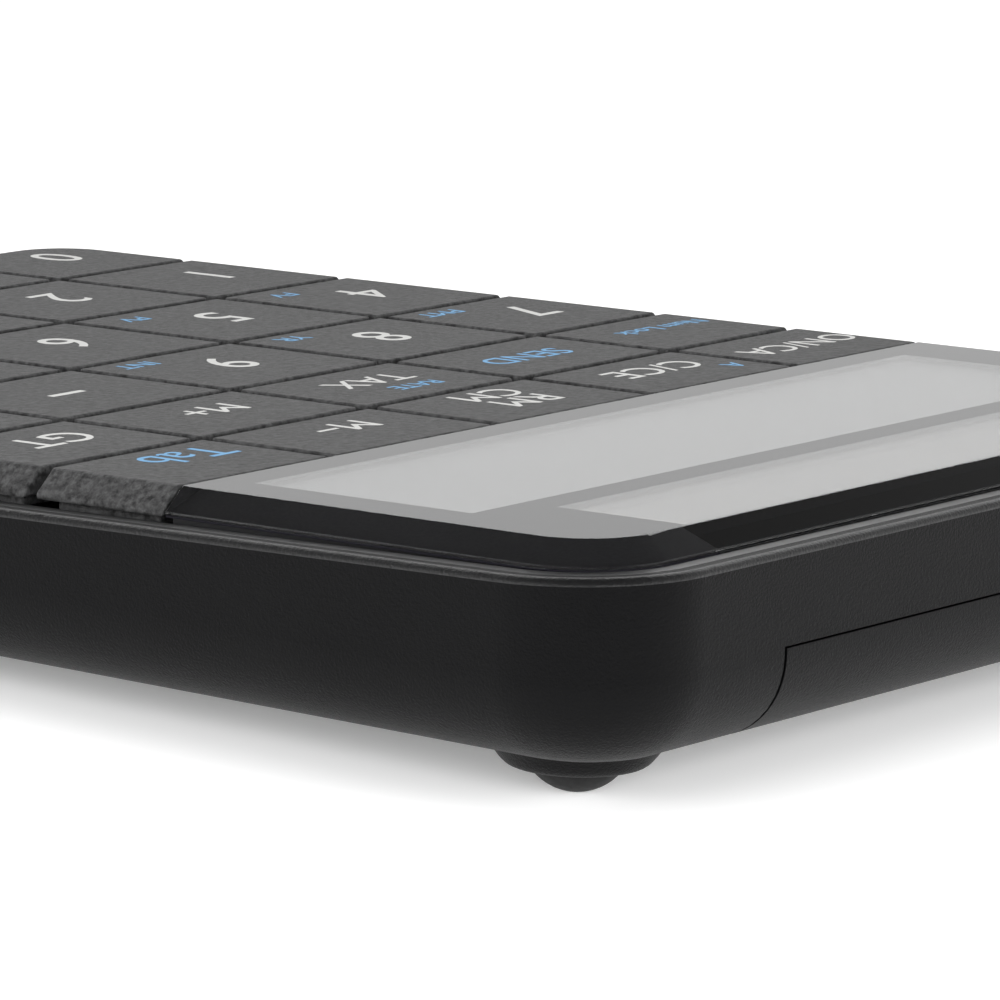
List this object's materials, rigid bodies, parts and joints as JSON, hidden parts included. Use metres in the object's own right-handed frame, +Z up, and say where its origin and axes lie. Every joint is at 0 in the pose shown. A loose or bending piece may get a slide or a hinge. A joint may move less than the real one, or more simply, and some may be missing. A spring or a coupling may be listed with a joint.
{
  "type": "desk calculator",
  "caption": "Wedge-shaped desk calculator with a flush key deck, a bevelled display and solar window, raised rear feet and a sliding battery door.",
  "frame": {"origin": "centre of the footprint, on the desk", "axes": "+Z up from the desk, +Y towards the display end, +X to the right of a user who faces +Y"},
  "size_m": [0.108, 0.1478, 0.021],
  "materials": {
    "case_plastic": "fine spark texture, nearly black",
    "frame_plastic": "smooth semi-gloss, nearly black",
    "key_plastic": "fine leather grain, charcoal",
    "rubber_foot": "matt black",
    "screw_steel": "bright zinc",
    "window_acrylic": "clear, polished bevel",
    "mask_ink": "black print",
    "lcd_glass": "grey-green reflective display",
    "film": "brushed film",
    "flex": "amber flexible strip",
    "silicon": "dark brown amorphous cell under glass",
    "wire": "red insulation",
    "circuit": "green solder mask",
    "chip_resin": "black epoxy",
    "component": "tan ceramic and metal cans",
    "silicone": "translucent grey silicone",
    "cell_steel": "nickel-plated can",
    "contact_metal": "plated spring brass"
  },
  "bodies": {
    "case": {"lower_case": "case_plastic", "upper_frame": "frame_plastic", "rear_feet": "rubber_foot", "front_feet": "rubber_foot", "case_screws": "screw_steel", "board_screws": "screw_steel", "display_lens": "window_acrylic", "lens_mask": "mask_ink", "lcd_panel": "lcd_glass", "lcd_reflector": "film", "lcd_tray": "frame_plastic", "lcd_connector": "flex", "solar_cell": "silicon", "solar_leads": "wire", "main_board": "circuit", "controller_chip": "chip_resin", "board_components": "component", "dome_sheet": "silicone", "coin_cell": "cell_steel", "negative_contact": "contact_metal", "positive_contact": "contact_metal"},
    "battery_door": {"battery_door": "case_plastic"},
    "key_on": {"key_on": "key_plastic"},
    "key_clear": {"key_clear": "key_plastic"},
    "key_recall_memory": {"key_recall_memory": "key_plastic"},
    "key_memory_minus": {"key_memory_minus": "key_plastic"},
    "key_tab": {"key_tab": "key_plastic"},
    "key_num_lock": {"key_num_lock": "key_plastic"},
    "key_send": {"key_send": "key_plastic"},
    "key_backspace": {"key_backspace": "key_plastic"},
    "key_memory_plus": {"key_memory_plus": "key_plastic"},
    "key_grand_total": {"key_grand_total": "key_plastic"},
    "key_7": {"key_7": "key_plastic"},
    "key_8": {"key_8": "key_plastic"},
    "key_9": {"key_9": "key_plastic"},
    "key_minus": {"key_minus": "key_plastic"},
    "key_divide": {"key_divide": "key_plastic"},
    "key_4": {"key_4": "key_plastic"},
    "key_5": {"key_5": "key_plastic"},
    "key_6": {"key_6": "key_plastic"},
    "key_plus": {"key_plus": "key_plastic"},
    "key_multiply": {"key_multiply": "key_plastic"},
    "key_1": {"key_1": "key_plastic"},
    "key_2": {"key_2": "key_plastic"},
    "key_3": {"key_3": "key_plastic"},
    "key_percent": {"key_percent": "key_plastic"},
    "key_equals": {"key_equals": "key_plastic"},
    "key_0": {"key_0": "key_plastic"},
    "key_double_zero": {"key_double_zero": "key_plastic"},
    "key_point": {"key_point": "key_plastic"},
    "key_sign": {"key_sign": "key_plastic"}
  },
  "joints": [
    {"name": "battery_door_slide", "type": "slide", "parent": "case", "child": "battery_door", "axis": [0, 0.9998, 0.0194], "range_m": [0, 0.034]},
    {"name": "key_on_press", "type": "slide", "parent": "case", "child": "key_on", "axis": [0, 0.039, -0.9992], "range_m": [0, 0.0012], "stiffness_N_per_m": 350, "springref_m": -0.001, "deforming": ["dome_sheet"]},
    {"name": "key_clear_press", "type": "slide", "parent": "case", "child": "key_clear", "axis": [0, 0.039, -0.9992], "range_m": [0, 0.0012], "stiffness_N_per_m": 350, "springref_m": -0.001, "deforming": ["dome_sheet"]},
    {"name": "key_recall_memory_press", "type": "slide", "parent": "case", "child": "key_recall_memory", "axis": [0, 0.039, -0.9992], "range_m": [0, 0.0012], "stiffness_N_per_m": 350, "springref_m": -0.001, "deforming": ["dome_sheet"]},
    {"name": "key_memory_minus_press", "type": "slide", "parent": "case", "child": "key_memory_minus", "axis": [0, 0.039, -0.9992], "range_m": [0, 0.0012], "stiffness_N_per_m": 350, "springref_m": -0.001, "deforming": ["dome_sheet"]},
    {"name": "key_tab_press", "type": "slide", "parent": "case", "child": "key_tab", "axis": [0, 0.039, -0.9992], "range_m": [0, 0.0012], "stiffness_N_per_m": 350, "springref_m": -0.001, "deforming": ["dome_sheet"]},
    {"name": "key_num_lock_press", "type": "slide", "parent": "case", "child": "key_num_lock", "axis": [0, 0.039, -0.9992], "range_m": [0, 0.0012], "stiffness_N_per_m": 350, "springref_m": -0.001, "deforming": ["dome_sheet"]},
    {"name": "key_send_press", "type": "slide", "parent": "case", "child": "key_send", "axis": [0, 0.039, -0.9992], "range_m": [0, 0.0012], "stiffness_N_per_m": 350, "springref_m": -0.001, "deforming": ["dome_sheet"]},
    {"name": "key_backspace_press", "type": "slide", "parent": "case", "child": "key_backspace", "axis": [0, 0.039, -0.9992], "range_m": [0, 0.0012], "stiffness_N_per_m": 350, "springref_m": -0.001, "deforming": ["dome_sheet"]},
    {"name": "key_memory_plus_press", "type": "slide", "parent": "case", "child": "key_memory_plus", "axis": [0, 0.039, -0.9992], "range_m": [0, 0.0012], "stiffness_N_per_m": 350, "springref_m": -0.001, "deforming": ["dome_sheet"]},
    {"name": "key_grand_total_press", "type": "slide", "parent": "case", "child": "key_grand_total", "axis": [0, 0.039, -0.9992], "range_m": [0, 0.0012], "stiffness_N_per_m": 350, "springref_m": -0.001, "deforming": ["dome_sheet"]},
    {"name": "key_7_press", "type": "slide", "parent": "case", "child": "key_7", "axis": [0, 0.039, -0.9992], "range_m": [0, 0.0012], "stiffness_N_per_m": 350, "springref_m": -0.001, "deforming": ["dome_sheet"]},
    {"name": "key_8_press", "type": "slide", "parent": "case", "child": "key_8", "axis": [0, 0.039, -0.9992], "range_m": [0, 0.0012], "stiffness_N_per_m": 350, "springref_m": -0.001, "deforming": ["dome_sheet"]},
    {"name": "key_9_press", "type": "slide", "parent": "case", "child": "key_9", "axis": [0, 0.039, -0.9992], "range_m": [0, 0.0012], "stiffness_N_per_m": 350, "springref_m": -0.001, "deforming": ["dome_sheet"]},
    {"name": "key_minus_press", "type": "slide", "parent": "case", "child": "key_minus", "axis": [0, 0.039, -0.9992], "range_m": [0, 0.0012], "stiffness_N_per_m": 350, "springref_m": -0.001, "deforming": ["dome_sheet"]},
    {"name": "key_divide_press", "type": "slide", "parent": "case", "child": "key_divide", "axis": [0, 0.039, -0.9992], "range_m": [0, 0.0012], "stiffness_N_per_m": 350, "springref_m": -0.001, "deforming": ["dome_sheet"]},
    {"name": "key_4_press", "type": "slide", "parent": "case", "child": "key_4", "axis": [0, 0.039, -0.9992], "range_m": [0, 0.0012], "stiffness_N_per_m": 350, "springref_m": -0.001, "deforming": ["dome_sheet"]},
    {"name": "key_5_press", "type": "slide", "parent": "case", "child": "key_5", "axis": [0, 0.039, -0.9992], "range_m": [0, 0.0012], "stiffness_N_per_m": 350, "springref_m": -0.001, "deforming": ["dome_sheet"]},
    {"name": "key_6_press", "type": "slide", "parent": "case", "child": "key_6", "axis": [0, 0.039, -0.9992], "range_m": [0, 0.0012], "stiffness_N_per_m": 350, "springref_m": -0.001, "deforming": ["dome_sheet"]},
    {"name": "key_plus_press", "type": "slide", "parent": "case", "child": "key_plus", "axis": [0, 0.039, -0.9992], "range_m": [0, 0.0012], "stiffness_N_per_m": 350, "springref_m": -0.001, "deforming": ["dome_sheet"]},
    {"name": "key_multiply_press", "type": "slide", "parent": "case", "child": "key_multiply", "axis": [0, 0.039, -0.9992], "range_m": [0, 0.0012], "stiffness_N_per_m": 350, "springref_m": -0.001, "deforming": ["dome_sheet"]},
    {"name": "key_1_press", "type": "slide", "parent": "case", "child": "key_1", "axis": [0, 0.039, -0.9992], "range_m": [0, 0.0012], "stiffness_N_per_m": 350, "springref_m": -0.001, "deforming": ["dome_sheet"]},
    {"name": "key_2_press", "type": "slide", "parent": "case", "child": "key_2", "axis": [0, 0.039, -0.9992], "range_m": [0, 0.0012], "stiffness_N_per_m": 350, "springref_m": -0.001, "deforming": ["dome_sheet"]},
    {"name": "key_3_press", "type": "slide", "parent": "case", "child": "key_3", "axis": [0, 0.039, -0.9992], "range_m": [0, 0.0012], "stiffness_N_per_m": 350, "springref_m": -0.001, "deforming": ["dome_sheet"]},
    {"name": "key_percent_press", "type": "slide", "parent": "case", "child": "key_percent", "axis": [0, 0.039, -0.9992], "range_m": [0, 0.0012], "stiffness_N_per_m": 350, "springref_m": -0.001, "deforming": ["dome_sheet"]},
    {"name": "key_equals_press", "type": "slide", "parent": "case", "child": "key_equals", "axis": [0, 0.039, -0.9992], "range_m": [0, 0.0012], "stiffness_N_per_m": 350, "springref_m": -0.001, "deforming": ["dome_sheet"]},
    {"name": "key_0_press", "type": "slide", "parent": "case", "child": "key_0", "axis": [0, 0.039, -0.9992], "range_m": [0, 0.0012], "stiffness_N_per_m": 350, "springref_m": -0.001, "deforming": ["dome_sheet"]},
    {"name": "key_double_zero_press", "type": "slide", "parent": "case", "child": "key_double_zero", "axis": [0, 0.039, -0.9992], "range_m": [0, 0.0012], "stiffness_N_per_m": 350, "springref_m": -0.001, "deforming": ["dome_sheet"]},
    {"name": "key_point_press", "type": "slide", "parent": "case", "child": "key_point", "axis": [0, 0.039, -0.9992], "range_m": [0, 0.0012], "stiffness_N_per_m": 350, "springref_m": -0.001, "deforming": ["dome_sheet"]},
    {"name": "key_sign_press", "type": "slide", "parent": "case", "child": "key_sign", "axis": [0, 0.039, -0.9992], "range_m": [0, 0.0012], "stiffness_N_per_m": 350, "springref_m": -0.001, "deforming": ["dome_sheet"]}
  ]
}
